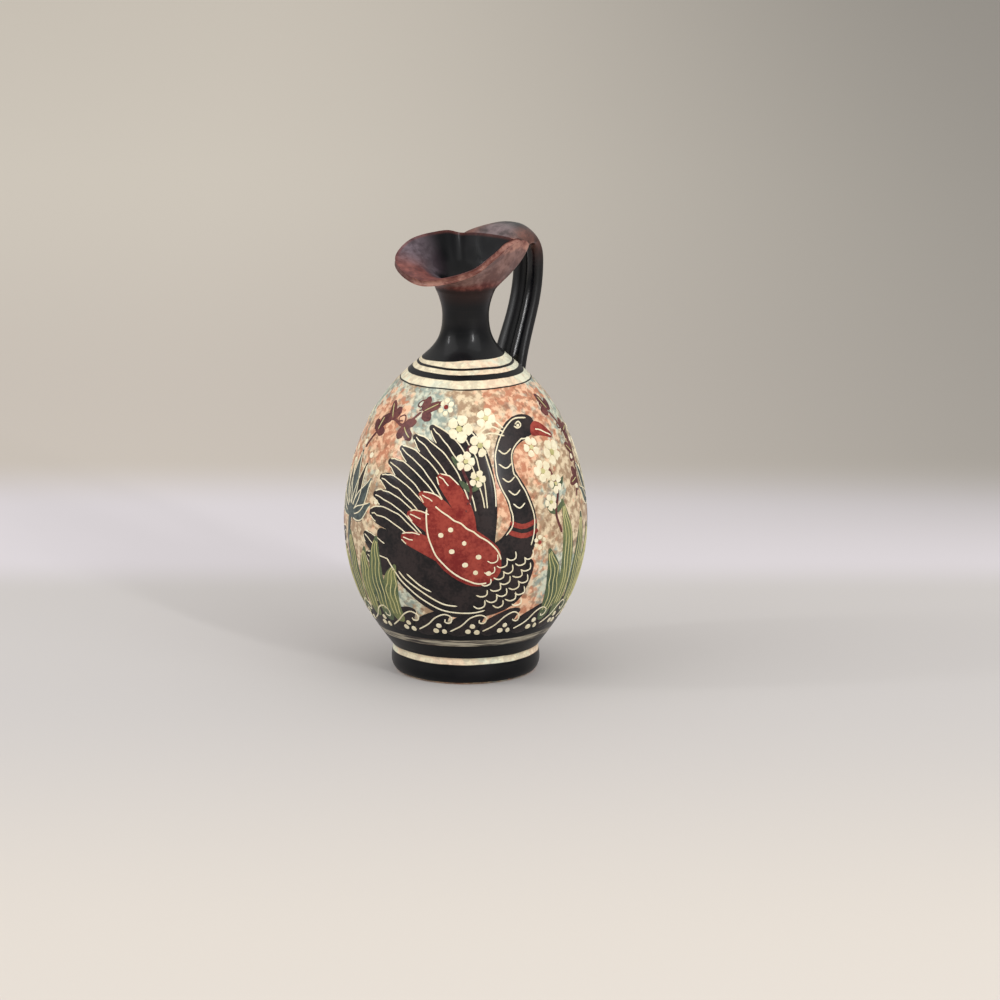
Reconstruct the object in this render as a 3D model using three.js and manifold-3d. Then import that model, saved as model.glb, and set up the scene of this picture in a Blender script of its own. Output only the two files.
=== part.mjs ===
// A small painted clay pitcher with a pinched trefoil mouth, a grooved strap handle and an egg-shaped body.
// Millimetres, +Z up, origin on the table under the middle of the foot, the handle at +X and the lip at -X.
// The pieces are those that a potter joins: foot, body, neck, mouth and handle, with a layer of slip in each joint.
import * as THREE from 'three';
import { mergeVertices } from 'three/addons/utils/BufferGeometryUtils.js';
import Module from 'manifold-3d';

const { degToRad, lerp, mapLinear, smoothstep } = THREE.MathUtils;
const wasm = await Module();
wasm.setup();

// Fits between pieces: flat joints touch, curved ones keep a gap on each side of the slip
const slipThickness = 0.4;
const curvedGap = 0.3;
const spigotClearance = 0.3;
const slipMargin = 0.7;

// Foot
const footHeight = 6.5;
const footRestRadius = 18.3;
const footSwellRadius = 20.5;
const footSwellHeight = 1.2;
const footRimRadius = 20.2;
const footRimHeight = 4.2;
const footWaistRadius = 19.5;
const footRecessRadius = 14.4;
const footRecessDepth = 2.6;
const footRecessChamfer = 1.0;

// Body: an egg whose widest ring lies below the middle, and a shoulder that runs up into the neck
const bodyHeight = 80.3;
const bellyRadius = 32.75;
const bellyHeightShare = 0.4334;
const wallThickness = 3.2;
const floorThickness = 3.6;
const insideCornerRound = 0.8;
const baseFlareLength = 7.7;
const baseFlareAngle = degToRad(53.7);
const bellyRoundBelow = 18.6;
const bellyRoundAbove = 7.2;
const shoulderRadiusShare = 0.6046;
const shoulderHeightShare = 0.8867;
const shoulderSlope = degToRad(49);
const shoulderRoundBelow = 15.3;
const shoulderRoundAbove = 12.7;

// Neck
const neckWaistRadius = 6.25;
const neckWaistRise = 19.2;
const neckRoundBelow = 9.9;
const neckRoundAbove = 3.3;
const neckBoreRadius = 4.4;
const neckTopRadius = 7.8;
const neckTopRise = 6.6;
const spigotWall = 2.2;
const spigotDepth = 2.4;

// Mouth rim: stations on its outer edge, from the pouring tip to the handle, as height above the mouth's foot
const spoutReach = 18.5;
const spoutRise = 3.4;
const lobeReach = 13.2;
const lobeHalfWidth = 13.0;
const lobeRise = 6.1;
const sideReach = 6.0;
const sideHalfWidth = 15.2;
const sideRise = 9.3;
const pinchOffset = 1.5;
const pinchHalfWidth = 13.6;
const pinchRise = 12.1;
const earOffset = 7.5;
const earHalfWidth = 12.8;
const earRise = 13.1;
const backReach = 11.3;
const backCornerHalfWidth = 13.0;
const backStraightHalfWidth = 8.5;
const backRise = 12.0;
const backSkew = 0.5;

// Mouth wall and lip: flat and flaring at the front, steep at the back
const lipThickness = 1.8;
const lipRoundness = 0.7;
const lipFlareLength = 5.5;
const lipSlopeFront = degToRad(-2);
const lipSlopeBack = degToRad(70);
const throatRiseFront = 3.0;
const throatRiseBack = 2.0;
const throatFlareFront = 0.6;
const throatFlareBack = 2.4;
const throatShare = 0.6;
const frontBearing = degToRad(154);
const backBearing = degToRad(60);

// Handle strap: two joined rods, fanned out where they meet the rim and swollen at the root
const handleHalfWidth = 4.6;
const handleHalfThickness = 1.8;
const handleSquareness = 2.6;
const handleGrooveDepth = 0.45;
const handleGrooveHalfWidth = 0.95;
const handleFanHalfWidth = 11.6;
const handleFanStart = 2.4;
const handleFanEnd = 11.0;
const handleRootFlare = 0.16;
const handleRootFlareLength = 19.3;

// Handle centre line: entry at the rim, crest, outermost point and root on the shoulder
const handleEntryDepth = 3.2;
const handleEntrySlope = degToRad(45);
const handleEntryRound = 3.0;
const handleCrestOffset = 8.0;
const handleCrestOverRim = 1.5;
const handleCrestRoundIn = 3.0;
const handleCrestRoundOut = 4.6;
const handleBulge = 8.65;
const handleReachDrop = 9.5;
const handleReachRoundAbove = 5.3;
const handleReachRoundBelow = 14.0;
const handleRootInset = 1.45;
const handleRootLean = degToRad(9);
const handleRootRound = 11.7;

// Mesh fineness
const turnSegments = 48;
const curveSteps = 9;
const wallSteps = 6;
const handleSteps = 28;
const strapSide = 8;

// Heights and radii that follow from the sizes above
const bodyBaseZ = footHeight + slipThickness;
const bellyZ = bodyBaseZ + bodyHeight * bellyHeightShare;
const shoulderZ = bodyBaseZ + bodyHeight * shoulderHeightShare;
const neckWaistZ = shoulderZ + neckWaistRise;
const neckJointZ = bodyBaseZ + bodyHeight;
const neckFootZ = neckJointZ + slipThickness;
const spigotFootZ = neckJointZ - spigotDepth;
const collarUnderZ = spigotFootZ - spigotClearance;
const neckTopZ = neckWaistZ + neckTopRise;
const mouthFootZ = neckTopZ + slipThickness;
const spigotRadius = neckBoreRadius + spigotWall;
const collarBoreRadius = spigotRadius + spigotClearance;
const shoulderRadius = bellyRadius * shoulderRadiusShare;
const handleRootRadius = shoulderRadius - handleRootInset;
const handleReach = handleRootRadius + handleBulge;

// Outer profile of the body and neck, as curves of radius and height from the foot joint to the mouth joint
const at = (radius, height) => new THREE.Vector2(radius, height);
const toward = (angle, length) => at(Math.cos(angle) * length, Math.sin(angle) * length);
const base = at(footWaistRadius, bodyBaseZ);
const belly = at(bellyRadius, bellyZ);
const shoulder = at(shoulderRadius, shoulderZ);
const waist = at(neckWaistRadius, neckWaistZ);
const neckTop = at(neckTopRadius, neckTopZ);
const belowShoulder = toward(-shoulderSlope, shoulderRoundBelow).add(shoulder);
const aboveShoulder = toward(Math.PI - shoulderSlope, shoulderRoundAbove).add(shoulder);
const outerCurves = [
  [base, toward(baseFlareAngle, baseFlareLength).add(base), at(bellyRadius, bellyZ - bellyRoundBelow), belly],
  [belly, at(bellyRadius, bellyZ + bellyRoundAbove), belowShoulder, shoulder],
  [shoulder, aboveShoulder, at(neckWaistRadius, neckWaistZ - neckRoundBelow), waist],
  [waist, at(neckWaistRadius, neckWaistZ + neckRoundAbove), neckTop, neckTop],
].map((points) => new THREE.CubicBezierCurve(...points));
const outerProfile = outerCurves.flatMap((curve, i) => curve.getPoints(curveSteps).slice(i ? 1 : 0));

// Profile radius at a height, on the straight line between the two nearest profile points
function radiusAt(height) {
  const i = Math.max(outerProfile.findIndex((p) => p.y >= height), 1);
  const [low, high] = [outerProfile[i - 1], outerProfile[i]];
  return mapLinear(height, low.y, high.y, low.x, high.x);
}

// Profile height on the shoulder at a radius
function heightAt(radius) {
  const i = outerProfile.findLastIndex((p) => p.x >= radius && p.y <= neckWaistZ);
  const [low, high] = [outerProfile[i], outerProfile[i + 1]];
  return mapLinear(radius, low.x, high.x, low.y, high.y);
}

// The stretch of the profile between two heights, with its ends exactly on them
function profileBetween(low, high) {
  const inside = outerProfile.filter((p) => p.y > low && p.y < high);
  const clear = inside.filter((p) => p.y - low > slipThickness / 2 && high - p.y > slipThickness / 2);
  return [at(radiusAt(low), low), ...clear, at(radiusAt(high), high)];
}

// A profile moved along its own normal, outward for a positive distance
function offsetProfile(points, distance) {
  return points.map((p, i) => {
    const before = points[Math.max(i - 1, 0)];
    const after = points[Math.min(i + 1, points.length - 1)];
    const along = after.clone().sub(before).normalize();
    return at(p.x + along.y * distance, p.y - along.x * distance);
  });
}

// A turned piece: the profile starts and ends on the axis, or closes on itself
function turned(profile) {
  return new THREE.LatheGeometry(profile, turnSegments).rotateX(Math.PI / 2);
}

// A skin over rings of equal point count: its last ring joins its first, or both ends are closed by fans
function skinned(rings, isLoop) {
  const sides = rings[0].length;
  const points = rings.flat();
  const triangles = [];
  const bands = isLoop ? rings.length : rings.length - 1;
  for (let i = 0; i < bands; i++) {
    const next = ((i + 1) % rings.length) * sides;
    for (let j = 0; j < sides; j++) {
      const right = (j + 1) % sides;
      const [a, b, c, d] = [i * sides + j, i * sides + right, next + j, next + right];
      triangles.push(a, b, d, a, d, c);
    }
  }
  for (const end of isLoop ? [] : [0, rings.length - 1]) {
    const centre = new THREE.Vector3();
    for (const p of rings[end]) centre.addScaledVector(p, 1 / sides);
    points.push(centre);
    for (let j = 0; j < sides; j++) {
      const edge = [end * sides + j, end * sides + ((j + 1) % sides)];
      triangles.push(...(end ? edge : edge.reverse()), points.length - 1);
    }
  }
  const geometry = new THREE.BufferGeometry().setFromPoints(points);
  geometry.setIndex(triangles);
  return geometry;
}

function solidOf(geometry) {
  const bare = geometry.clone();
  bare.deleteAttribute('normal');
  bare.deleteAttribute('uv');
  const merged = mergeVertices(bare, 1e-4);
  return new wasm.Manifold(new wasm.Mesh({
    numProp: 3,
    vertProperties: Float32Array.from(merged.attributes.position.array),
    triVerts: Uint32Array.from(merged.index.array),
  }));
}

function geometryOf(solid) {
  const mesh = solid.getMesh();
  const geometry = new THREE.BufferGeometry();
  geometry.setAttribute('position', new THREE.BufferAttribute(Float32Array.from(mesh.vertProperties), 3));
  geometry.setIndex(new THREE.BufferAttribute(Uint32Array.from(mesh.triVerts), 1));
  return geometry;
}

// A skin made solid, turned inside out first if its faces point in
function skinSolid(rings, isLoop) {
  const geometry = skinned(rings, isLoop);
  const solid = solidOf(geometry);
  if (solid.volume() > 0) return solid;
  geometry.setIndex(Array.from(geometry.index.array).reverse());
  return solidOf(geometry);
}

// The largest solid of a cut, so that a sliver left beside it is dropped
function largest(solid) {
  return solid.decompose().reduce((best, piece) => (piece.volume() > best.volume() ? piece : best));
}

// Foot: a turned ring foot that stands on a flat ring and is hollow underneath
function footGeometry() {
  const edge = new THREE.CubicBezierCurve(
    at(footRestRadius, 0),
    at(footSwellRadius, footSwellHeight),
    at(footRimRadius, footRimHeight),
    at(footWaistRadius, footHeight),
  );
  return turned([
    at(0, footRecessDepth),
    at(footRecessRadius - footRecessChamfer, footRecessDepth),
    at(footRecessRadius, 0),
    ...edge.getPoints(curveSteps),
    at(0, footHeight),
  ]);
}

// Body: a thrown hollow egg with a flat floor and a thick collar round its opening
function bodyGeometry() {
  const floorZ = bodyBaseZ + floorThickness;
  const outside = profileBetween(bodyBaseZ, neckJointZ);
  const inside = offsetProfile(outside, -wallThickness).filter(
    (p) => p.y > floorZ + insideCornerRound && p.y < collarUnderZ - insideCornerRound,
  );
  return turned([
    at(0, bodyBaseZ),
    ...outside,
    at(collarBoreRadius, neckJointZ),
    at(collarBoreRadius, collarUnderZ),
    at(inside.at(-1).x, collarUnderZ),
    ...inside.reverse(),
    at(inside.at(-1).x - insideCornerRound, floorZ),
    at(0, floorZ),
  ]);
}

// Neck: a narrow thrown tube whose spigot stands in the body's collar
function neckGeometry() {
  return turned([
    at(neckBoreRadius, spigotFootZ),
    at(spigotRadius, spigotFootZ),
    at(spigotRadius, neckFootZ),
    ...profileBetween(neckFootZ, neckTopZ),
    at(neckBoreRadius, neckTopZ),
    at(neckBoreRadius, spigotFootZ),
  ]);
}

// A flat layer of slip between two turned pieces: a disc, or a ring round a hole
function slipLayer(innerRadius, outerRadius, z) {
  const outside = [at(outerRadius, z), at(outerRadius, z + slipThickness)];
  const start = at(innerRadius, z);
  const end = at(innerRadius, z + slipThickness);
  return turned(innerRadius ? [start, ...outside, end, start] : [start, ...outside, end]);
}

// Mouth rim: a closed curve through the named stations, the same on both sides but for a slight skew at the back
function rimStation([x, y, rise], side) {
  const skew = backSkew * smoothstep(x, pinchOffset, backReach) * (y / backCornerHalfWidth);
  return new THREE.Vector3(x, side * y, mouthFootZ + rise - side * skew);
}
const rimStations = [
  [-spoutReach, 0, spoutRise],
  [-lobeReach, lobeHalfWidth, lobeRise],
  [-sideReach, sideHalfWidth, sideRise],
  [pinchOffset, pinchHalfWidth, pinchRise],
  [earOffset, earHalfWidth, earRise],
  [backReach, backCornerHalfWidth, backRise],
  [backReach, backStraightHalfWidth, backRise],
];
const rimCurve = new THREE.CatmullRomCurve3([
  ...rimStations.map((station) => rimStation(station, 1)),
  ...rimStations.slice(1).reverse().map((station) => rimStation(station, -1)),
], true, 'centripetal');

// The outer face of the mouth in one upright cut, from the neck out to a point on the rim
function mouthFace(edge) {
  const reach = Math.hypot(edge.x, edge.y);
  const toBack = smoothstep(edge.x / reach, Math.cos(frontBearing), Math.cos(backBearing));
  const flare = toward(lerp(lipSlopeFront, lipSlopeBack, toBack), lipFlareLength);
  const throatRadius = neckTopRadius + lerp(throatFlareFront, throatFlareBack, toBack);
  const throatZ = mouthFootZ + lerp(throatRiseFront, throatRiseBack, toBack);
  const lip = at(reach, edge.z);
  return new THREE.CubicBezierCurve(
    at(neckTopRadius, mouthFootZ),
    at(throatRadius, throatZ),
    lip.clone().sub(flare),
    lip,
  );
}

// Cuts all round the mouth: outline gives a cut's points from its outer face, and each is set at its bearing
function mouthCuts(outline) {
  return rimCurve.getSpacedPoints(turnSegments).slice(1).map((edge) => {
    const bearing = Math.atan2(edge.y, edge.x);
    return outline(mouthFace(edge)).map(
      (p) => new THREE.Vector3(p.x * Math.cos(bearing), p.x * Math.sin(bearing), p.y),
    );
  });
}

// A point beside a curve, square to it: inward and up for a positive distance
function beside(curve, share, distance) {
  const p = curve.getPoint(share);
  const along = curve.getTangent(share);
  return at(p.x - along.y * distance, p.y + along.x * distance);
}

// Mouth: a thin flared bowl, pinched while soft, with a rounded lip
function mouthSolid() {
  const neckWall = neckTopRadius - neckBoreRadius;
  return skinSolid(mouthCuts((face) => {
    const inside = [at(neckBoreRadius, mouthFootZ)];
    for (let i = 1; i <= wallSteps; i++) {
      const share = i / wallSteps;
      inside.push(beside(face, share, lerp(neckWall, lipThickness, Math.min(share / throatShare, 1))));
    }
    const lip = beside(face, 1, lipThickness / 2).addScaledVector(face.getTangent(1), lipRoundness);
    return [...face.getPoints(wallSteps), lip, ...inside.reverse()];
  }), true);
}

// The space that the mouth fills, grown by a distance, for cutting what is joined to it
function mouthEnvelope(grow) {
  const cuts = mouthCuts((face) => {
    const outside = [];
    for (let i = 0; i <= wallSteps; i++) outside.push(beside(face, i / wallSteps, -grow));
    const beyond = face.getTangent(1).multiplyScalar(lipRoundness + grow);
    return [...outside, beside(face, 1, -grow).add(beyond), beside(face, 1, lipThickness + grow).add(beyond)];
  });
  return skinSolid(cuts[0].map((_, level) => cuts.map((cut) => cut[level])), false);
}

// The space that the body fills, grown by a distance
function bodyEnvelope(grow) {
  const outside = offsetProfile(profileBetween(bodyBaseZ, neckJointZ), grow);
  return solidOf(turned([at(0, outside[0].y), ...outside, at(0, outside.at(-1).y)]));
}

// Handle centre line, in the XZ plane: out of the back of the lip, over the crest and down into the shoulder
const rimBackZ = mouthFootZ + backRise;
const crestZ = rimBackZ + handleCrestOverRim;
const reachZ = crestZ - handleReachDrop;
const rootZ = heightAt(handleRootRadius);
const entry = at(backReach - handleEntryDepth, rimBackZ - handleEntryDepth);
const crest = at(backReach + handleCrestOffset, crestZ);
const outermost = at(handleReach, reachZ);
const intoBody = Math.PI / 2 - handleRootLean;
const root = toward(intoBody, -handleEntryDepth).add(at(handleRootRadius, rootZ));
const spine = new THREE.CurvePath();
for (const points of [
  [entry, toward(handleEntrySlope, handleEntryRound).add(entry), at(crest.x - handleCrestRoundIn, crestZ), crest],
  [crest, at(crest.x + handleCrestRoundOut, crestZ), at(handleReach, reachZ + handleReachRoundAbove), outermost],
  [outermost, at(handleReach, reachZ - handleReachRoundBelow), toward(intoBody, handleRootRound).add(root), root],
]) spine.add(new THREE.CubicBezierCurve3(...points.map((p) => new THREE.Vector3(p.x, 0, p.y))));
const spineLength = spine.getLength();

// One cross-section of the strap at a distance along it, grown by a margin: two rods with a groove between them
function strapRing(distance, margin) {
  const centre = spine.getPoint(distance / spineLength);
  const along = spine.getTangent(distance / spineLength);
  const across = new THREE.Vector3(-along.z, 0, along.x);
  const fan = 1 - smoothstep(distance, handleFanStart, handleFanEnd);
  const swell = 1 + handleRootFlare * smoothstep(distance, spineLength - handleRootFlareLength, spineLength);
  const halfWidth = lerp(handleHalfWidth, handleFanHalfWidth, fan) * swell;
  const grooveDepth = handleGrooveDepth * (1 - fan);
  const ring = [];
  for (let i = 0; i < 2 * strapSide; i++) {
    const share = Math.cos((Math.PI * i) / strapSide);
    const round = (1 - Math.abs(share) ** handleSquareness) ** (1 / handleSquareness);
    const groove = grooveDepth * Math.exp(-(((share * halfWidth) / handleGrooveHalfWidth) ** 2));
    const face = Math.sign(strapSide - i) * (i % strapSide ? 1 : 0);
    const p = centre.clone().addScaledVector(across, face * (handleHalfThickness * round - groove + margin));
    ring.push(p.setY(share * (halfWidth + margin)));
  }
  return ring;
}

function strapSolid(from, to, margin) {
  const count = Math.round((handleSteps * (to - from)) / spineLength);
  const rings = [];
  for (let i = 0; i <= count; i++) rings.push(strapRing(lerp(from, to, i / count), margin));
  return skinSolid(rings, false);
}

// Handle and its two layers of slip, cut to the faces that they lie on
const slipFar = curvedGap + slipThickness;
const handleFar = slipFar + curvedGap;
function handleSolid() {
  const strap = strapSolid(0, spineLength, 0);
  return largest(strap.subtract(mouthEnvelope(handleFar)).subtract(bodyEnvelope(handleFar)));
}

function handleTopSlip() {
  const strap = strapSolid(0, handleFanEnd, slipMargin);
  return largest(strap.intersect(mouthEnvelope(slipFar)).subtract(mouthEnvelope(curvedGap)));
}

function handleRootSlip() {
  const strap = strapSolid(spineLength - handleRootFlareLength, spineLength, slipMargin);
  return largest(strap.intersect(bodyEnvelope(slipFar)).subtract(bodyEnvelope(curvedGap)));
}

// Finishes: dark satin slip, painted clay, slip that fired red-brown where it is thin, and raw slip in the joints
const darkSlip = { color: 0x1f1d1f, roughness: 0.35, metalness: 0 };
const paintedClay = { color: 0xcfa889, roughness: 0.5, metalness: 0 };
const thinSlip = { color: 0x6e3c37, roughness: 0.4, metalness: 0 };
const rawSlip = { color: 0xb98a6a, roughness: 0.85, metalness: 0 };

const pieces = {
  foot: [footGeometry(), darkSlip],
  foot_luting_slip: [slipLayer(0, footWaistRadius, footHeight), rawSlip],
  body: [bodyGeometry(), paintedClay],
  neck_luting_slip: [slipLayer(collarBoreRadius, radiusAt(neckFootZ), neckJointZ), rawSlip],
  neck: [neckGeometry(), darkSlip],
  mouth_luting_slip: [slipLayer(neckBoreRadius, neckTopRadius, neckTopZ), rawSlip],
  mouth: [geometryOf(mouthSolid()), thinSlip],
  handle: [geometryOf(handleSolid()), darkSlip],
  handle_top_luting_slip: [geometryOf(handleTopSlip()), rawSlip],
  handle_root_luting_slip: [geometryOf(handleRootSlip()), rawSlip],
};

const pitcher = new THREE.Group();
for (const [name, [geometry, finish]] of Object.entries(pieces)) {
  const mesh = new THREE.Mesh(geometry, new THREE.MeshStandardMaterial(finish));
  mesh.name = name;
  pitcher.add(mesh);
}

export default pitcher;
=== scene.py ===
"""A small painted clay pitcher: its fine shapes, paint and light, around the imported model. In metres."""
import math
import random

import bmesh
import bpy
import numpy as np
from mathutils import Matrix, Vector


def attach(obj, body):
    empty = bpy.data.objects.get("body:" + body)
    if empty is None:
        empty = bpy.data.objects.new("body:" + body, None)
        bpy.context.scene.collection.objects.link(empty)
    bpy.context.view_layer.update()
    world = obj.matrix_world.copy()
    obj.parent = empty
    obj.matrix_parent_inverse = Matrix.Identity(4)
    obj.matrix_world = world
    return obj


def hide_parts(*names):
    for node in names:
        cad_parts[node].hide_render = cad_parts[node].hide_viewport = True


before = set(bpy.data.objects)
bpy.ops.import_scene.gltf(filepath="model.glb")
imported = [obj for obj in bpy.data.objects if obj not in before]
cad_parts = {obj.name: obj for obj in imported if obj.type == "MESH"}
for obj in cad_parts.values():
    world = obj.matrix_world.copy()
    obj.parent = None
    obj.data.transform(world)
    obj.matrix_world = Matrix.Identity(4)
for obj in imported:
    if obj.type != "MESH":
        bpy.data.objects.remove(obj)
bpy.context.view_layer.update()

# Camera
# The photo is taken from a little above, from the side of the pouring lip, through a long lens.
# The pitcher stands a little left of the middle of the picture.
MM = 0.001
PHOTO_BEARING = math.radians(-141)
PHOTO_RISE = math.radians(13)
PHOTO_DISTANCE = 1500
PHOTO_LENS = 200.9
PHOTO_SHIFT = (0.0344, -0.0495)
FILM_WIDTH = 36
LOOKS_AT = Vector((0, 0, 60))


def seen_from(bearing, rise):
    """The unit direction from the pitcher at a bearing around it and an angle above level."""
    return Vector((math.cos(bearing) * math.cos(rise), math.sin(bearing) * math.cos(rise), math.sin(rise)))


def in_scene(name, data):
    """An object made from its data and put in the scene."""
    made = bpy.data.objects.new(name, data)
    bpy.context.scene.collection.objects.link(made)
    return made


away = seen_from(PHOTO_BEARING, PHOTO_RISE)
camera = in_scene("photo_camera", bpy.data.cameras.new("photo_camera"))
camera.location = (LOOKS_AT + away * PHOTO_DISTANCE) * MM
camera.rotation_mode = "QUATERNION"
camera.rotation_quaternion = (-away).to_track_quat("-Z", "Y")
camera.data.sensor_width = FILM_WIDTH
camera.data.lens = PHOTO_LENS
camera.data.shift_x, camera.data.shift_y = PHOTO_SHIFT
camera.data.clip_start = 0.05
camera.data.clip_end = 20
bpy.context.scene.camera = camera

# Body
# A hollow egg of clay, thrown on the wheel. Its outline runs on without a step into the foot and the neck.
# It ends in a collar that takes the neck's spigot, and it is painted with rings and a sponged ground.
TURN_STEPS = 224
FOOT_TOP = 6.5
SLIP = 0.4
BODY_BASE = FOOT_TOP + SLIP
BODY_TOP = 87.2
BASE = (19.5, BODY_BASE)
BELLY = (32.75, 41.7)
SHOULDER = (19.8, 78.1)
WAIST = (6.25, 97.3)
NECK_TOP = (7.8, 103.9)
BASE_FLARE = (53.7, 7.7)
BELLY_ROUND = (18.6, 7.2)
SHOULDER_SLOPE = -49
SHOULDER_ROUND = (15.3, 12.7)
WAIST_ROUND = (9.9, 3.3)
WALL = 3.2
FLOOR_TOP = 10.5
INSIDE_CORNER = 0.8
COLLAR_BORE = 6.9
COLLAR_UNDER = 84.5
JOINT_STEP = 0.04
JOINT_CLEAR = 0.1
SAME_PLACE = 1e-7
NO_LENGTH = 1e-8
SHARP_EDGE = math.radians(40)


def bezier(points, count):
    """Points along a Bezier curve of any degree, one row each, ends included."""
    share = np.linspace(0, 1, count)[:, None, None]
    level = np.array(points, float)[None].repeat(count, 0)
    while level.shape[1] > 1:
        level = level[:, :-1] * (1 - share) + level[:, 1:] * share
    return level[:, 0]


def run_on(*stretches):
    """One line from Bezier stretches that each start where the last one ended: (count, handles)."""
    start = stretches[0][1][0]
    return np.vstack([start, *[bezier(handles, count)[1:] for count, handles in stretches]])


def slanted(point, degrees, length):
    """A point at a distance from another, in a direction given in degrees from straight outward."""
    angle = math.radians(degrees)
    return (point[0] + math.cos(angle) * length, point[1] + math.sin(angle) * length)


def above(point, length):
    """A point straight above another, or below it where the length is negative."""
    return (point[0], point[1] + length)


shoulder_below = slanted(SHOULDER, SHOULDER_SLOPE, SHOULDER_ROUND[0])
shoulder_above = slanted(SHOULDER, SHOULDER_SLOPE + 180, SHOULDER_ROUND[1])
outline = run_on(
    (70, [BASE, slanted(BASE, *BASE_FLARE), above(BELLY, -BELLY_ROUND[0]), BELLY]),
    (70, [BELLY, above(BELLY, BELLY_ROUND[1]), shoulder_below, SHOULDER]),
    (50, [SHOULDER, shoulder_above, above(WAIST, -WAIST_ROUND[0]), WAIST]),
    (24, [WAIST, above(WAIST, WAIST_ROUND[1]), NECK_TOP, NECK_TOP]),
)


def radius_at(height):
    """Outer radius of the pitcher at a height."""
    return np.interp(height, outline[:, 1], outline[:, 0])


def outline_between(low, high):
    """The outline between two heights, its end steps short so that joined pieces shade as one."""
    inside = outline[(outline[:, 1] > low + JOINT_CLEAR) & (outline[:, 1] < high - JOINT_CLEAR)]
    ends = [(radius_at(h), h) for h in (low, low + JOINT_STEP, high - JOINT_STEP, high)]
    return [*ends[:2], *map(tuple, inside), *ends[2:]]


def moved_in(points, distance):
    """An outline moved square to itself, towards the inside."""
    along = np.gradient(np.array(points), axis=0)
    along /= np.linalg.norm(along, axis=1)[:, None]
    return np.array(points) + np.stack([-along[:, 1], along[:, 0]], 1) * distance


def piece(mesh, name, material, replaces=()):
    """A finished bmesh as an object that rides with the pitcher."""
    bmesh.ops.remove_doubles(mesh, verts=mesh.verts, dist=SAME_PLACE)
    bmesh.ops.dissolve_degenerate(mesh, edges=mesh.edges, dist=NO_LENGTH)
    bmesh.ops.recalc_face_normals(mesh, faces=mesh.faces)
    for face in mesh.faces:
        face.smooth = True
    for edge in mesh.edges:
        edge.smooth = len(edge.link_faces) == 2 and edge.calc_face_angle(0) < SHARP_EDGE
    data = bpy.data.meshes.new(name)
    mesh.to_mesh(data)
    mesh.free()
    data.materials.append(material)
    made = in_scene(name, data)
    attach(made, "root")
    if replaces:
        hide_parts(*replaces)


def turned(profile, closed):
    """A bmesh turned on the wheel from points of radius and height, in millimetres."""
    mesh = bmesh.new()
    points = [mesh.verts.new((r * MM, 0, z * MM)) for r, z in profile]
    edges = [mesh.edges.new(pair) for pair in zip(points, points[1:])]
    if closed:
        edges.append(mesh.edges.new((points[-1], points[0])))
    bmesh.ops.spin(
        mesh, geom=points + edges, cent=(0, 0, 0), axis=(0, 0, 1), angle=math.tau,
        steps=TURN_STEPS, use_merge=True,
    )
    return mesh


def node(tree, kind, feeds=None, **settings):
    """A shader node with its settings, and with its sockets set to values or fed by other sockets."""
    made = tree.nodes.new("ShaderNode" + kind)
    for name, value in settings.items():
        setattr(made, name, value)
    for name, value in (feeds or {}).items():
        if isinstance(value, bpy.types.NodeSocket):
            tree.links.new(value, made.inputs[name])
        else:
            made.inputs[name].default_value = value
    return made


def position(tree):
    """Where a point of the surface is, in metres from the middle of the foot."""
    return node(tree, "TexCoord").outputs["Object"]


def height_of(tree, place):
    """How high a place is."""
    return node(tree, "SeparateXYZ", {0: place}).outputs[2]


def reach_along(tree, place, way):
    """How far a place lies in a direction."""
    return node(tree, "VectorMath", {0: place, 1: way}, operation="DOT_PRODUCT").outputs["Value"]


def carried(tree, name):
    """A value that the points of the mesh carry."""
    return node(tree, "Attribute", attribute_name=name).outputs["Fac"]


def maths(tree, operation, a, b=0.0):
    """A sum done on one or two values."""
    return node(tree, "Math", {0: a, 1: b}, operation=operation).outputs[0]


def times(tree, a, b):
    """Two values multiplied."""
    return maths(tree, "MULTIPLY", a, b)


def added(tree, value, *shares):
    """A value plus shares of others, each given as (other, share)."""
    for other, share in shares:
        value = maths(tree, "ADD", value, times(tree, other, share))
    return value


def swayed(tree, value, cloud, reach):
    """A value moved up and down by noise, so that its edges are ragged."""
    return added(tree, value, (maths(tree, "SUBTRACT", cloud, 0.5), reach))


def fades(tree, value, low, high):
    """0 below low, 1 above high, smooth between; reversed where high is the lower."""
    return node(tree, "MapRange", {0: value, 1: low, 2: high}, interpolation_type="SMOOTHSTEP").outputs[0]


def mixed(tree, share, a, b, how="MIX"):
    """Two colours mixed, with the share of the second one."""
    return node(tree, "Mix", {0: share, 6: a, 7: b}, data_type="RGBA", blend_type=how).outputs[2]


def graded(tree, value, low, high, before, after):
    """One colour below low, another above high, smooth between."""
    return mixed(tree, fades(tree, value, low, high), before, after)


def noise(tree, place, size, detail=2.0, rough=0.5, shift=0.0):
    """Noise whose blotches are about `size` millimetres wide."""
    feeds = {"Vector": place, "W": shift, "Scale": 1 / (size * MM), "Detail": detail, "Roughness": rough}
    return node(tree, "TexNoise", feeds, noise_dimensions="4D").outputs[0]


def stretched(tree, place, flat, upright):
    """Places drawn together or apart, so that noise runs around the pitcher in streaks."""
    return node(tree, "Mapping", {"Vector": place, "Scale": (flat, flat, upright)}).outputs[0]


def relief(tree, raised, strength, depth):
    """The surface's normal where paint or clay stands up to `depth` millimetres high."""
    return node(tree, "Bump", {"Height": raised, "Strength": strength, "Distance": depth * MM}).outputs[0]


def new_finish(name):
    """A new material without nodes, and its node tree."""
    made = bpy.data.materials.new(name)
    made.use_nodes = True
    made.node_tree.nodes.clear()
    return made, made.node_tree


def finished(tree, feeds):
    """The surface itself, at the end of a material."""
    coat = node(tree, "BsdfPrincipled", feeds)
    node(tree, "OutputMaterial", {0: coat.outputs[0]})


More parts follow.
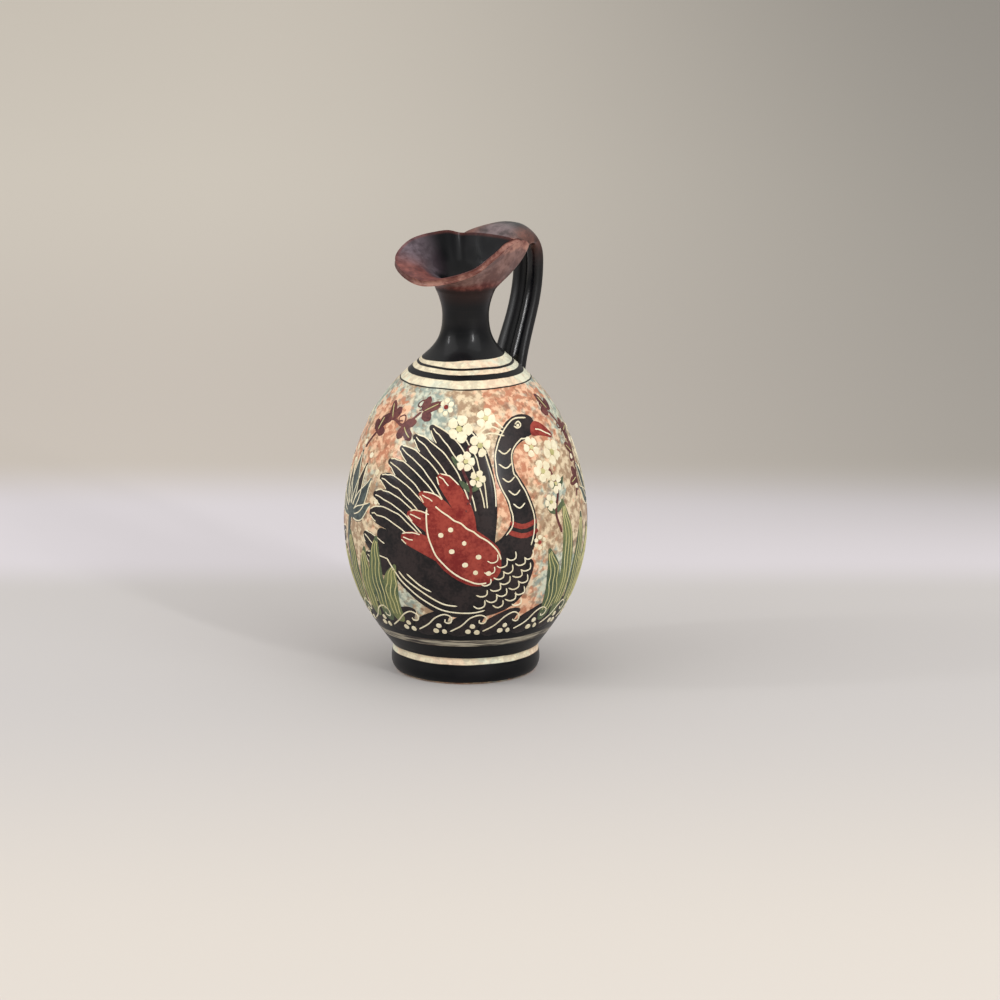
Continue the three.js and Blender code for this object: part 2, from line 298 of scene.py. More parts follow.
def colour(red, green, blue):
    """A screen colour, 0 to 255, as the shader's linear colour."""
    parts = [c / 255 for c in (red, green, blue)]
    return (*[c / 12.92 if c < 0.04 else ((c + 0.055) / 1.055) ** 2.4 for c in parts], 1)


def group(name, inputs, outputs):
    """An empty shader node group: (tree, its inputs, a function that feeds its outputs)."""
    tree = bpy.data.node_groups.new(name, "ShaderNodeTree")
    for label, (kind, value) in inputs.items():
        made = tree.interface.new_socket(label, in_out="INPUT", socket_type="NodeSocket" + kind)
        if value is not None:
            made.default_value = value
    for label, kind in outputs.items():
        tree.interface.new_socket(label, in_out="OUTPUT", socket_type="NodeSocket" + kind)
    given = tree.nodes.new("NodeGroupInput").outputs
    last = tree.nodes.new("NodeGroupOutput")
    return tree, given, lambda **feeds: [tree.links.new(feeds[key], last.inputs[key]) for key in feeds]


def placed(tree, made, feeds=None):
    """The outputs of a node group placed in a material."""
    return node(tree, "Group", feeds, node_tree=made).outputs


# The sponged ground: patches of salmon, cream and pale blue-grey, dabbed on in spots a millimetre or so wide.
# The salmon is thinner at the middle of the photo's side, at the side across from it, and near the top.
TO_CAMERA = (math.cos(PHOTO_BEARING), math.sin(PHOTO_BEARING), 0)
CREAM_TONES = (colour(168, 140, 112), colour(226, 207, 174))
SALMON_TONES = (colour(192, 130, 100), colour(236, 192, 158))
BLUE_TONES = (colour(146, 158, 148), colour(206, 210, 190))
SPECK_BROWN = colour(122, 92, 70)
RING_CREAM = colour(250, 246, 218)
DAB_SCALE = 760.0
DAB_FRAY = {"Scale": 900.0, "Detail": 2.0}
DAB_DRIFT = 1.1 * MM
SALMON_THINS = (58 * MM, 78 * MM)

ground, given, puts_out = group(
    "sponged_ground", {"Pale": ("Float", 0.0)}, {"Color": "Color", "Height": "Float"},
)
where = position(ground)
drift = node(ground, "TexNoise", {"Vector": where, **DAB_FRAY}).outputs["Color"]
dabbed = node(ground, "VectorMath", {0: drift, "Scale": DAB_DRIFT}, operation="SCALE").outputs[0]
dabbed = node(ground, "VectorMath", {0: where, 1: dabbed}, operation="ADD").outputs[0]
dabs = node(ground, "TexVoronoi", {"Vector": dabbed, "Scale": DAB_SCALE}, feature="SMOOTH_F1")
dab_tints = node(ground, "SeparateColor", {0: dabs.outputs["Color"]}).outputs
facing = maths(ground, "DIVIDE", reach_along(ground, where, TO_CAMERA), BELLY[0] * MM)
facing = maths(ground, "ABSOLUTE", facing)
upper = fades(ground, height_of(ground, where), *SALMON_THINS)
salmon_zone = noise(ground, dabbed, 22, 1.5, shift=3.7)
salmon_zone = added(ground, salmon_zone, (facing, -0.14), (upper, -0.07), (dab_tints[0], 0.2))
blue_zone = added(ground, noise(ground, dabbed, 17, 1.5, shift=11.2), (dab_tints[1], 0.18))
shade = noise(ground, dabbed, 1.7, 2.5, 0.55, shift=1.0)
cream = graded(ground, shade, 0.41, 0.61, *CREAM_TONES)
salmon = graded(ground, shade, 0.41, 0.59, *SALMON_TONES)
blue = graded(ground, shade, 0.39, 0.59, *BLUE_TONES)
tone = graded(ground, blue_zone, 0.56, 0.68, cream, blue)
tone = graded(ground, salmon_zone, 0.49, 0.62, tone, salmon)
specks = fades(ground, noise(ground, dabbed, 1.5, shift=5.0), 0.56, 0.65)
tone = mixed(ground, times(ground, specks, 0.5), tone, SPECK_BROWN)
tone = mixed(ground, times(ground, given["Pale"], 0.5), tone, RING_CREAM)
puts_out(Color=tone, Height=shade)

# The black slip: fired almost black, browner where it was brushed on thin, with faint rings from the wheel.
SLIP_BLACKS = (colour(6, 8, 11), colour(16, 16, 19))
WHEEL_GREY = colour(28, 26, 29)
THIN_BROWN = colour(92, 54, 44)

black, given, puts_out = group(
    "black_slip", {"Thin": ("Float", 0.0)}, {"Color": "Color", "Roughness": "Float", "Height": "Float"},
)
where = position(black)
streak = noise(black, stretched(black, where, 0.25, 3.0), 2.4, 3.0, 0.6)
cloud = noise(black, where, 7, 3.0, 0.55, shift=2.0)
tone = graded(black, cloud, 0.35, 0.7, *SLIP_BLACKS)
tone = mixed(black, times(black, fades(black, streak, 0.55, 0.75), 0.35), tone, WHEEL_GREY)
tone = mixed(black, given["Thin"], tone, THIN_BROWN)
puts_out(Color=tone, Roughness=added(black, 0.3, (cloud, 0.2)), Height=streak)

# The painted clay of foot, body and neck: black and pale rings, each from its height up to the next one's,
# and the sponged ground between them. The black of the neck comes down lower at the photo's left.
TO_RIGHT = (-math.sin(PHOTO_BEARING), math.cos(PHOTO_BEARING), 0)
LOW_SPAN = (0, 21)
LOW_RINGS = [
    (0.45, "black"), (5.6, "pale"), (7.5, "black"), (11.6, "brushed"), (13.5, "black"), (19.6, "ground"),
]
HIGH_SPAN = (80, 88)
HIGH_RINGS = [
    (80.4, "black"), (80.7, "pale"), (82.5, "black"), (83.7, "pale"),
    (84.7, "black"), (85.2, "pale"), (87.0, "black"),
]
RING_CODE = {"ground": (0, 0, 0, 1), "black": (1, 0, 0, 1), "pale": (0, 1, 0, 1), "brushed": (0, 0, 1, 1)}
RING_EDGE = 0.04
RING_WAVER = 0.55 * MM
NECK_PAINT = 86.95
NECK_PAINT_LEAN = 0.09
NECK_BROWN = 0.15
NECK_BROWN_FROM = 100
BRUSHED_GREYS = (colour(64, 58, 56), colour(186, 178, 158))
INSIDE_CLAY = colour(112, 74, 60)


def rings_painted(tree, height, rings, low, high):
    """Rings by height: red where they are black, green where pale, blue where brushed."""
    share = node(tree, "MapRange", {0: height, 1: low * MM, 2: high * MM}).outputs[0]
    ramp = node(tree, "ValToRGB", {0: share})
    stops = ramp.color_ramp.elements
    last_code = RING_CODE["ground"]
    for start, kind in rings:
        for spot, code in ((start - RING_EDGE, last_code), (start + RING_EDGE, RING_CODE[kind])):
            stop = stops.new((spot - low) / (high - low))
            stop.color = code
        last_code = RING_CODE[kind]
    stops.remove(stops[0])
    stops.remove(stops[-1])
    return ramp.outputs[0]


painted_clay, tree = new_finish("painted_clay")
where = position(tree)
height = height_of(tree, where)
brown_top = times(tree, fades(tree, height, NECK_BROWN_FROM * MM, NECK_TOP[1] * MM), NECK_BROWN)
height = swayed(tree, height, noise(tree, where, 9), RING_WAVER)
to_left = times(tree, maths(tree, "MINIMUM", reach_along(tree, where, TO_RIGHT), 0), -NECK_PAINT_LEAN)
on_neck = maths(tree, "ADD", to_left, height)
on_neck = fades(tree, on_neck, (NECK_PAINT - RING_EDGE) * MM, (NECK_PAINT + RING_EDGE) * MM)
low_rings = rings_painted(tree, height, LOW_RINGS, *LOW_SPAN)
high_rings = rings_painted(tree, height, HIGH_RINGS, *HIGH_SPAN)
rings = mixed(tree, 1.0, low_rings, high_rings, "ADD")
is_black, is_pale, is_brushed = node(tree, "SeparateColor", {0: rings}).outputs
is_black = maths(tree, "MAXIMUM", is_black, on_neck)
sponged = placed(tree, ground, {"Pale": is_pale})
slip = placed(tree, black, {"Thin": brown_top})
wiped = noise(tree, stretched(tree, where, 0.12, 2.2), 0.9, 2.0, 0.6, shift=4.0)
grey = graded(tree, wiped, 0.42, 0.66, *BRUSHED_GREYS)
tone = mixed(tree, is_brushed, sponged["Color"], grey)
tone = mixed(tree, is_black, tone, slip["Color"])
tone = mixed(tree, carried(tree, "within"), tone, INSIDE_CLAY)
rough = added(tree, 0.5, (is_black, maths(tree, "SUBTRACT", slip["Roughness"], 0.5)))
raised = added(tree, 0.0, (is_black, 0.4), (sponged["Height"], 0.3), (is_black, slip["Height"]))
finished(tree, {
    "Base Color": tone, "Roughness": rough, "Normal": relief(tree, raised, 0.6, 0.07),
    "Specular IOR Level": 0.12, "Coat Weight": 0.2, "Coat Roughness": 0.14,
})


def mark_within(mesh, lies_within):
    """Mark the points inside the pitcher, where the clay is bare."""
    within = mesh.verts.layers.float.new("within")
    for vert in mesh.verts:
        vert[within] = lies_within(vert.co)


outside = outline_between(BODY_BASE, BODY_TOP)
lining = moved_in(outside, WALL)
inside = [p for p in lining if FLOOR_TOP + INSIDE_CORNER < p[1] < COLLAR_UNDER - INSIDE_CORNER]
body = turned([
    (0, BODY_BASE), *outside, (COLLAR_BORE, BODY_TOP), (COLLAR_BORE, COLLAR_UNDER),
    (inside[-1][0], COLLAR_UNDER), *inside[::-1], (inside[0][0] - INSIDE_CORNER, FLOOR_TOP), (0, FLOOR_TOP),
], closed=False)
mark_within(body, lambda at: math.hypot(at.x, at.y) < (radius_at(at.z / MM) - WALL / 2) * MM)
piece(body, "painted_body", painted_clay, ["body"])

# Foot
# A turned ring of clay that the pitcher stands on, hollow and bare underneath. Slip joins it to the body,
# and the paint of the body runs down over both.
FOOT_REST = 18.3
FOOT_BULGE = [(20.5, 1.2), (20.2, 4.2)]
REST_ROUND = 0.25
RECESS_RADIUS = 14.4
RECESS_TOP = 2.6
RECESS_CORNER = [(-1, 0), (-0.3, -0.5)]
BARE_WITHIN = (18.75 * MM, 18.45 * MM)
BARE_CLAYS = (colour(176, 128, 98), colour(208, 162, 130))
WORN_BELOW = (0.9 * MM, 0.3 * MM)

foot_clay = painted_clay.copy()
foot_clay.name = "foot_clay"
tree = foot_clay.node_tree
coat = next(n for n in tree.nodes if n.type == "BSDF_PRINCIPLED")
where = next(n for n in tree.nodes if n.type == "TEX_COORD").outputs["Object"]
from_axis = node(tree, "VectorMath", {0: stretched(tree, where, 1, 0)}, operation="LENGTH").outputs["Value"]
under = fades(tree, from_axis, *BARE_WITHIN)
clay = mixed(tree, noise(tree, where, 0.6, 4.0, 0.65), *BARE_CLAYS)
worn = fades(tree, noise(tree, where, 2.2, 3.0, 0.6, shift=8.0), 0.6, 0.66)
worn = times(tree, worn, fades(tree, height_of(tree, where), *WORN_BELOW))
shows = maths(tree, "MAXIMUM", under, worn)
painted = coat.inputs["Base Color"].links[0].from_socket
tree.links.new(mixed(tree, shows, painted, clay), coat.inputs["Base Color"])
painted = coat.inputs["Roughness"].links[0].from_socket
rough = node(tree, "Math", {0: painted, 1: times(tree, shows, 0.4)}, operation="ADD", use_clamp=True)
tree.links.new(rough.outputs[0], coat.inputs["Roughness"])

foot_edge = bezier([(FOOT_REST + REST_ROUND, 0.1), *FOOT_BULGE, (BASE[0], FOOT_TOP)], 36)
foot = turned([
    (0, RECESS_TOP), *[(RECESS_RADIUS + out, RECESS_TOP + up) for out, up in RECESS_CORNER],
    (RECESS_RADIUS, REST_ROUND), (RECESS_RADIUS + REST_ROUND, 0), (FOOT_REST, 0),
    *map(tuple, foot_edge), (0, FOOT_TOP),
], closed=False)
piece(foot, "ring_foot", foot_clay, ["foot"])


def slip_joint(held, profile, closed=True):
    """The thin layer of slip that holds a piece, painted over with it."""
    piece(turned(profile, closed), held + "_slip_joint", painted_clay, [held + "_luting_slip"])


slip_joint("foot", [(0, FOOT_TOP), (BASE[0], FOOT_TOP), BASE, (0, BODY_BASE)], closed=False)

# Neck
# A narrow tube of clay, thrown on the wheel. Its short spigot stands in the body's collar, fixed with slip,
# and it is painted black over its joints.
NECK_BORE = 4.4
SPIGOT = 6.6
SPIGOT_FOOT = 84.8
NECK_FOOT = BODY_TOP + SLIP

neck = turned([
    (NECK_BORE, SPIGOT_FOOT), (SPIGOT, SPIGOT_FOOT), (SPIGOT, NECK_FOOT),
    *outline_between(NECK_FOOT, NECK_TOP[1]), (NECK_BORE, NECK_TOP[1]),
], closed=True)
mark_within(neck, lambda at: at.z < BODY_TOP * MM)
piece(neck, "neck_tube", painted_clay, ["neck"])
slip_joint("neck", [(COLLAR_BORE, BODY_TOP), *outline_between(BODY_TOP, NECK_FOOT), (COLLAR_BORE, NECK_FOOT)])

# Mouth
# A thin flared bowl of clay, pinched while soft into a pouring lip and two ears, and fixed on the neck with
# slip. Its own coat was thin, so it fired red-brown outside and at the lip, and black only deep inside.
# The rim's points run from the lip round by the far ear, their height above the mouth's foot. The very edge
# of the lip is hollowed between its two sides.
MOUTH_FOOT = NECK_TOP[1] + SLIP
RIM = [
    (-18.5, 0, 3.6), (-13.6, 13.3, 7.0), (-6.2, 15.4, 10.9), (1.5, 14.1, 12.9), (7.0, 12.6, 13.3),
    (10.8, 10.6, 12.3), (12.1, 6.6, 12.6), (12.3, 0, 12.9), (12.5, -6.4, 12.6), (12.6, -10.1, 11.9),
    (11.2, -12.8, 12.0), (7.4, -13.8, 13.8), (1.5, -14.1, 13.1), (-6.0, -15.2, 10.9), (-13.2, -13.0, 7.0),
]
RIM_STEPS = 240
FACE_STEPS = 30
LIP_STEPS = 10
LIP_WALL = 1.55
THROAT_WALL = 3.4
WALL_THINS_BY = 0.6
LIP_HOLLOW = 0.7
POUR_SIDE = 154
HANDLE_SIDE = 60
LIP_SLOPES = (-2, 75)
LIP_REACH = 5.5
THROAT_OUT = (0.6, 1.8)
THROAT_UP = (3, -1)
MOUTH_FOOT_OUT = 0.19
NECK_END_LEAN = (1.55, 3.3)


def smoothstep(value, low, high):
    """0 at low, 1 at high, smooth between."""
    share = np.clip((value - low) / (high - low), 0, 1)
    return share * share * (3 - 2 * share)


def smooth_line(points, closed=False, fine=24):
    """A smooth line through points, the same kind of spline as the model's rim."""
    points = np.array(points, float)
    if closed:
        points = np.vstack([points[-1], points, points[:2]])
    else:
        points = np.vstack([2 * points[0] - points[1], points, 2 * points[-1] - points[-2]])
    line = []
    for a, b, c, d in zip(points, points[1:], points[2:], points[3:]):
        knots = np.cumsum([0, *[math.sqrt(math.dist(p, q)) for p, q in ((a, b), (b, c), (c, d))]])
        middle = (c - b) / (knots[2] - knots[1])
        out = (b - a) / knots[1] - (c - a) / knots[2] + middle
        into = middle - (d - b) / (knots[3] - knots[1]) + (d - c) / (knots[3] - knots[2])
        span = (knots[2] - knots[1]) / 3
        line.append(bezier([b, b + out * span, c - into * span, c], fine)[:-1])
    return np.vstack([*line, points[-2:-1]])


def spaced(line, shares):
    """A line's points at shares of its length."""
    steps = np.linalg.norm(np.diff(line, axis=0), axis=1)
    run = np.concatenate([[0], np.cumsum(steps)])
    return np.stack([np.interp(np.array(shares) * run[-1], run, column) for column in line.T], 1)


def woven(rows, closed_along, layers=(), mesh=None):
    """A bmesh grid bent to rings of points in millimetres, with what follows x, y and z in named layers."""
    mesh = mesh or bmesh.new()
    values = [mesh.verts.layers.float.new(name) for name in layers]
    around = len(rows[0])
    along = len(rows) if closed_along else len(rows) - 1
    grid = bmesh.ops.create_grid(mesh, x_segments=along, y_segments=around, size=1)
    for vert in grid["verts"]:
        row = round((vert.co.x + 1) / 2 * along) % len(rows)
        place = round((vert.co.y + 1) / 2 * around) % around
        point = rows[row][place]
        vert.co = Vector(point[:3]) * MM
        for layer, value in zip(values, point[3:]):
            vert[layer] = value
    return mesh


rim = smooth_line([(x, y, MOUTH_FOOT + rise) for x, y, rise in RIM], closed=True, fine=60)
rim = spaced(rim, np.linspace(0, 1, RIM_STEPS + 1)[:-1])
pour_side, handle_side = math.cos(math.radians(POUR_SIDE)), math.cos(math.radians(HANDLE_SIDE))
mouth_foot = (NECK_TOP[0] + MOUTH_FOOT_OUT, MOUTH_FOOT)
neck_end = slanted(mouth_foot, math.degrees(math.atan2(NECK_END_LEAN[1], NECK_END_LEAN[0])), 1.0)
face_shares = np.linspace(0, 1, FACE_STEPS)
walls = THROAT_WALL + np.clip(face_shares / WALL_THINS_BY, 0, 1) * (LIP_WALL - THROAT_WALL)
lip_shares = np.linspace(0, 1, LIP_STEPS + 1)[1:-1]
rim_shares = np.concatenate([face_shares, np.ones(LIP_STEPS - 1), face_shares[::-1]])
inner_shares = np.concatenate([0 * face_shares, lip_shares, 0 * face_shares + 1])
mouth_rows = []
for x, y, z in rim:
    lip = (math.hypot(x, y), z)
    to_back = smoothstep(x / lip[0], pour_side, handle_side)
    slope = LIP_SLOPES[0] + to_back * (LIP_SLOPES[1] - LIP_SLOPES[0])
    throat = (
        NECK_TOP[0] + THROAT_OUT[0] + THROAT_OUT[1] * to_back,
        MOUTH_FOOT + THROAT_UP[0] + THROAT_UP[1] * to_back,
    )
    face = bezier([mouth_foot, neck_end, throat, slanted(lip, slope, -LIP_REACH), lip], FACE_STEPS)
    lining = moved_in(face, walls[:, None])
    lining[0] = (NECK_BORE, MOUTH_FOOT)
    middle = (face[-1] + lining[-1]) / 2
    half = (face[-1] - lining[-1]) / 2
    inward = np.array([half[1], -half[0]]) / np.linalg.norm(half)
    turn = (lip_shares * math.pi)[:, None]
    edge = middle + half * np.cos(turn) + inward * np.sin(turn) * LIP_HOLLOW
    section = np.vstack([face, edge, lining[::-1]])
    bearing = math.atan2(y, x)
    mouth_rows.append([
        (r * math.cos(bearing), r * math.sin(bearing), h, rim_share, inner)
        for (r, h), rim_share, inner in zip(section, rim_shares, inner_shares)
    ])

# The thin slip of the mouth: black deep inside, mauve and then red towards the lip, dull brown outside.
# Along the near edge of the rim it is painted paler pink: a painted highlight on the lip's edge.
LIP_REDS = (colour(84, 40, 38), colour(132, 76, 68))
LIP_MAUVES = (colour(64, 54, 60), colour(104, 92, 100))
OUTSIDE_BROWNS = (colour(98, 70, 66), colour(136, 106, 100))
LIP_HIGHLIGHT_PINKS = (colour(118, 74, 66), colour(174, 130, 116))


def mottled(tree, coarse, fine):
    """Coarse blotches with finer ones in them."""
    return added(tree, 0.0, (coarse, 0.6), (fine, 0.4))


thin_slip, tree = new_finish("thin_slip")
where = position(tree)
rim_share = carried(tree, "rim_share")
inner = carried(tree, "inner")
fine = noise(tree, where, 1.4, 4.0, 0.65, shift=3.0)
mottle = mottled(tree, noise(tree, where, 6, 3.0, 0.6), fine)
slip = placed(tree, black)
throat_slip = placed(tree, black, {"Thin": NECK_BROWN})
x, y, z = node(tree, "SeparateXYZ", {0: where}).outputs
x = swayed(tree, x, mottle, 9 * MM)
to_lip = fades(tree, x, 4 * MM, -6 * MM)
nearer = fades(tree, y, 11 * MM, 1 * MM)
near_front = fades(tree, added(tree, y, (x, 1.2)), 5 * MM, -8 * MM)
red = graded(tree, mottle, 0.4, 0.62, *LIP_REDS)
mauve = graded(tree, mottle, 0.38, 0.62, *LIP_MAUVES)
lip_highlight = graded(tree, mottle, 0.4, 0.6, *LIP_HIGHLIGHT_PINKS)
ragged = swayed(tree, rim_share, mottle, 0.35)
inside_tone = mixed(tree, times(tree, fades(tree, ragged, 0.26, 0.5), to_lip), slip["Color"], mauve)
reddened = times(tree, fades(tree, ragged, 0.46, 0.7), times(tree, to_lip, near_front))
inside_tone = mixed(tree, reddened, inside_tone, red)
inside_tone = mixed(tree, times(tree, fades(tree, rim_share, 0.95, 0.99), 0.5), inside_tone, red)
outside_tone = graded(tree, mottle, 0.42, 0.6, *OUTSIDE_BROWNS)
outside_tone = graded(tree, ragged, 0.5, 0.3, outside_tone, red)
outside_tone = graded(tree, ragged, 0.42, 0.12, outside_tone, throat_slip["Color"])
tone = mixed(tree, inner, outside_tone, inside_tone)
# Painted highlight: the lip's edge and the band just under it turn paler pink, on the near side of the rim
# only.
lip_highlight_mask = times(tree, fades(tree, inner, 0.0, 0.3), fades(tree, inner, 1.0, 0.7))
below_lip = fades(tree, swayed(tree, rim_share, fine, 0.12), 0.86, 0.93)
below_lip = times(tree, below_lip, fades(tree, inner, 0.3, 0.1))
lip_highlight_mask = times(tree, maths(tree, "MAXIMUM", lip_highlight_mask, below_lip), nearer)
finished(tree, {
    "Base Color": mixed(tree, lip_highlight_mask, tone, lip_highlight), "Roughness": added(tree, 0.3, (mottle, 0.25)),
    "Normal": relief(tree, mottle, 0.3, 0.1),
    "Specular IOR Level": 0.12, "Coat Weight": 0.1, "Coat Roughness": 0.2,
})

mouth = woven(mouth_rows, closed_along=True, layers=["rim_share", "inner"])
piece(mouth, "pinched_mouth", thin_slip, ["mouth"])
slip_joint("mouth", [(NECK_BORE, NECK_TOP[1]), NECK_TOP, mouth_foot, (NECK_BORE, MOUTH_FOOT)])

# Handle
# A pulled strap of clay, two rods with a groove between, fanned out and smoothed onto the back of the rim and
# pressed onto the shoulder. Slip fills both joints and is painted over with the strap.
# Fan shares, tucks, bends and droops are for its near and its far edge; spans are in millimetres of its run.
STRAP_RINGS = 170
STRAP_SIDES = 64
STRAP_HALF_WIDE = 4.6
STRAP_HALF_THICK = 1.85
STRAP_START = (11.5, 113.6)
START_RISE = (12.0, 117.2)
CREST = (19.3, 117.7)
CREST_ROUND = 4.6
OUTERMOST = (27.0, 108.3)
OUTERMOST_ROUND = (5.3, 14.0)
ROOT = (18.35, 79.6)
ROOT_SLOPE = 81
ROOT_SINK = 2.6
ROOT_ROUND = 11.7
ROOT_FILLET = 1.5
ROOT_SWELL = 0.16
ROOT_SWELL_RUN = 19.3
FAN_HALF_WIDE = 10.65
FAN_FAR_EXTRA = 0.45
FAN_QUICK_SPAN = (1.5, 7.5)
FAN_SLOW_SPAN = (4, 19)
FAN_QUICK_SHARES = (0.56, 0.62)
THIN_START = 1.3
THIN_SPAN = (0, 7)
EAR_TUCK = (0, 1.2)
TUCK_SPAN = (0.5, 4)
EAR_BEND = (0.35, 1.7)
BEND_SPAN = (0, 8)
EDGE_DROOP = (3.2, 0.1)
DROOP_START_SPAN = (0.5, 6.5)
DROOP_END_SPAN = (9, 22)
STRAP_SQUARENESS = 2.6
ROD_SQUARENESS = 2.3
GROOVE_SPAN = (12, 24)
GROOVE_FLOOR = 0.5
GROOVE_SOFTNESS = 5


def rounded(across, squareness):
    """Height of a rounded bar at a share of its half width; a squareness of 2 is an ellipse."""
    return (1 - abs(across) ** squareness) ** (1 / squareness)


def dies_away(run, span):
    """1 at the strap's start, 0 past the end of a span."""
    return 1 - smoothstep(run, *span)


root_end = slanted(ROOT, ROOT_SLOPE, -ROOT_SINK)
above_root = slanted(root_end, ROOT_SLOPE, ROOT_ROUND)
spine = run_on(
    (60, [STRAP_START, START_RISE, (CREST[0] - CREST_ROUND, CREST[1]), CREST]),
    (60, [CREST, (CREST[0] + CREST_ROUND, CREST[1]), above(OUTERMOST, OUTERMOST_ROUND[0]), OUTERMOST]),
    (100, [OUTERMOST, above(OUTERMOST, -OUTERMOST_ROUND[1]), above_root, root_end]),
)
spine = spaced(spine, np.linspace(0, 1, STRAP_RINGS))
tangents = np.gradient(spine, axis=0)
tangents /= np.linalg.norm(tangents, axis=1)[:, None]
length = np.linalg.norm(np.diff(spine, axis=0), axis=1).sum()
strap_rows = []
for (x, z), (tx, tz), run in zip(spine, tangents, np.linspace(0, length, STRAP_RINGS)):
    near_fan, far_fan = [
        quick * dies_away(run, FAN_QUICK_SPAN) + (1 - quick) * dies_away(run, FAN_SLOW_SPAN)
        for quick in FAN_QUICK_SHARES
    ]
    swell = 1 + ROOT_SWELL * smoothstep(run, length - ROOT_SWELL_RUN, length)
    half_thick = STRAP_HALF_THICK - THIN_START * dies_away(run, THIN_SPAN)
    droops = dies_away(run, DROOP_END_SPAN) * smoothstep(run, *DROOP_START_SPAN)
    row = []
    for k in range(STRAP_SIDES):
        turn = math.tau * k / STRAP_SIDES
        across = math.cos(turn)
        far = across > 0
        fan = far_fan + (near_fan - far_fan) * smoothstep(across, 0.5, -0.5)
        fan_wide = FAN_HALF_WIDE + FAN_FAR_EXTRA * across
        half_wide = (STRAP_HALF_WIDE + (fan_wide - STRAP_HALF_WIDE) * fan) * swell
        half_wide -= EAR_TUCK[far] * dies_away(run, TUCK_SPAN)
        strap = rounded(across, STRAP_SQUARENESS)
        rods = rounded(abs(across) * 2 - 1, ROD_SQUARENESS)
        if abs(across) < 0.5:
            rods = (rods ** GROOVE_SOFTNESS + GROOVE_FLOOR ** GROOVE_SOFTNESS) ** (1 / GROOVE_SOFTNESS)
        height = strap + (rods - strap) * smoothstep(run, *GROOVE_SPAN)
        lift = math.copysign(half_thick * height, math.sin(turn)) if k % (STRAP_SIDES / 2) else 0
        droop = EDGE_DROOP[far] * across * across * droops
        bend = EAR_BEND[far] * abs(across) ** 3 * dies_away(run, BEND_SPAN)
        px, py, pz = x - tz * lift - bend, across * half_wide, z + tx * lift - droop
        if run > length / 2:
            clear = math.hypot(px, py) - radius_at(pz)
            sunk = 1 - min(max(clear, 0) / ROOT_FILLET, 1)
            spread = ROOT_FILLET * (1 - math.sqrt(1 - sunk ** 2))
            px -= tz * math.copysign(spread, lift) * height
            py += math.copysign(spread, across) * abs(across)
        row.append((px, py, pz, run / length, across))
    strap_rows.append(row)

# The strap's slip: black, thin and mauve where it meets the rim, and worn brown along its edges.
START_MAUVES = (colour(66, 55, 56), colour(118, 102, 104))
EDGE_BROWNS = (colour(66, 42, 38), colour(116, 76, 66))

strap_slip, tree = new_finish("strap_slip")
side = carried(tree, "across")
mottle = noise(tree, position(tree), 3.5, 4.0, 0.65, shift=6.0)
ragged = swayed(tree, carried(tree, "along"), mottle, 0.12)
slip = placed(tree, black)
tone = graded(tree, ragged, 0.19, 0.1, slip["Color"], graded(tree, mottle, 0.35, 0.65, *START_MAUVES))
edge = times(tree, fades(tree, maths(tree, "ABSOLUTE", side), 0.3, 0.85), fades(tree, ragged, 0.46, 0.18))
tone = mixed(tree, edge, tone, graded(tree, mottle, 0.35, 0.65, *EDGE_BROWNS))
handled = times(tree, fades(tree, side, -0.85, -0.65), fades(tree, side, 0.0, -0.15))
finished(tree, {
    "Base Color": tone, "Roughness": added(tree, slip["Roughness"], (handled, -0.24)),
    "Normal": relief(tree, mottle, 0.5, 0.16),
    "Specular IOR Level": 0.3, "Coat Weight": 0.05, "Coat Roughness": 0.2,
})

strap = woven(strap_rows, closed_along=False, layers=["along", "across"])
bmesh.ops.remove_doubles(strap, verts=strap.verts, dist=SAME_PLACE)
bmesh.ops.holes_fill(strap, edges=[e for e in strap.edges if e.is_boundary], sides=0)
strap_nodes = ["handle", "handle_top_luting_slip", "handle_root_luting_slip"]
piece(strap, "strap_handle", strap_slip, strap_nodes)

# Picture
# Painted by hand over the sponged ground, in paint thick enough to feel: a black water bird, waves, reeds,
# a lotus and ivy, with thin cream lines and dots on top. The same bird swims on the other side.
# Each paint has its height off the body, its colour where it dried thin, and its colour where it is thick.
PAINTS = {
    "black": (0.05, colour(46, 37, 37), colour(15, 13, 16)),
    "green": (0.08, colour(124, 130, 84), colour(78, 94, 66)),
    "moss": (0.09, colour(98, 110, 76), colour(62, 78, 60)),
    "teal": (0.09, colour(92, 104, 100), colour(50, 60, 62)),
    "maroon": (0.1, colour(112, 62, 58), colour(74, 32, 36)),
    "red": (0.11, colour(158, 66, 54), colour(116, 30, 28)),
    "straw": (0.17, colour(176, 172, 116), colour(212, 204, 150)),
    "cream": (0.15, colour(226, 214, 180), colour(242, 234, 206)),
}
PAINT_OVER = 0.025
PAINT_SINK = 0.03
PAINT_EDGE = 0.25
PAINT_EDGE_MOST = 0.4
PAINT_STEP_WIDE = 1.6
LINE = 0.45
SHAKE = 0.1
hand = random.Random(11)
paint_meshes = {paint: bmesh.new() for paint in PAINTS}


def on_body(turn, across, height, lift):
    """A point on the body: degrees round from the photo's middle, then millimetres across, up and off it."""
    radius = radius_at(height)
    slope = radius_at(height + 0.5) - radius_at(height - 0.5)
    out = lift / math.hypot(1, slope)
    bearing = PHOTO_BEARING + math.radians(turn) + across / radius
    return ((radius + out) * math.cos(bearing), (radius + out) * math.sin(bearing), height - out * slope)


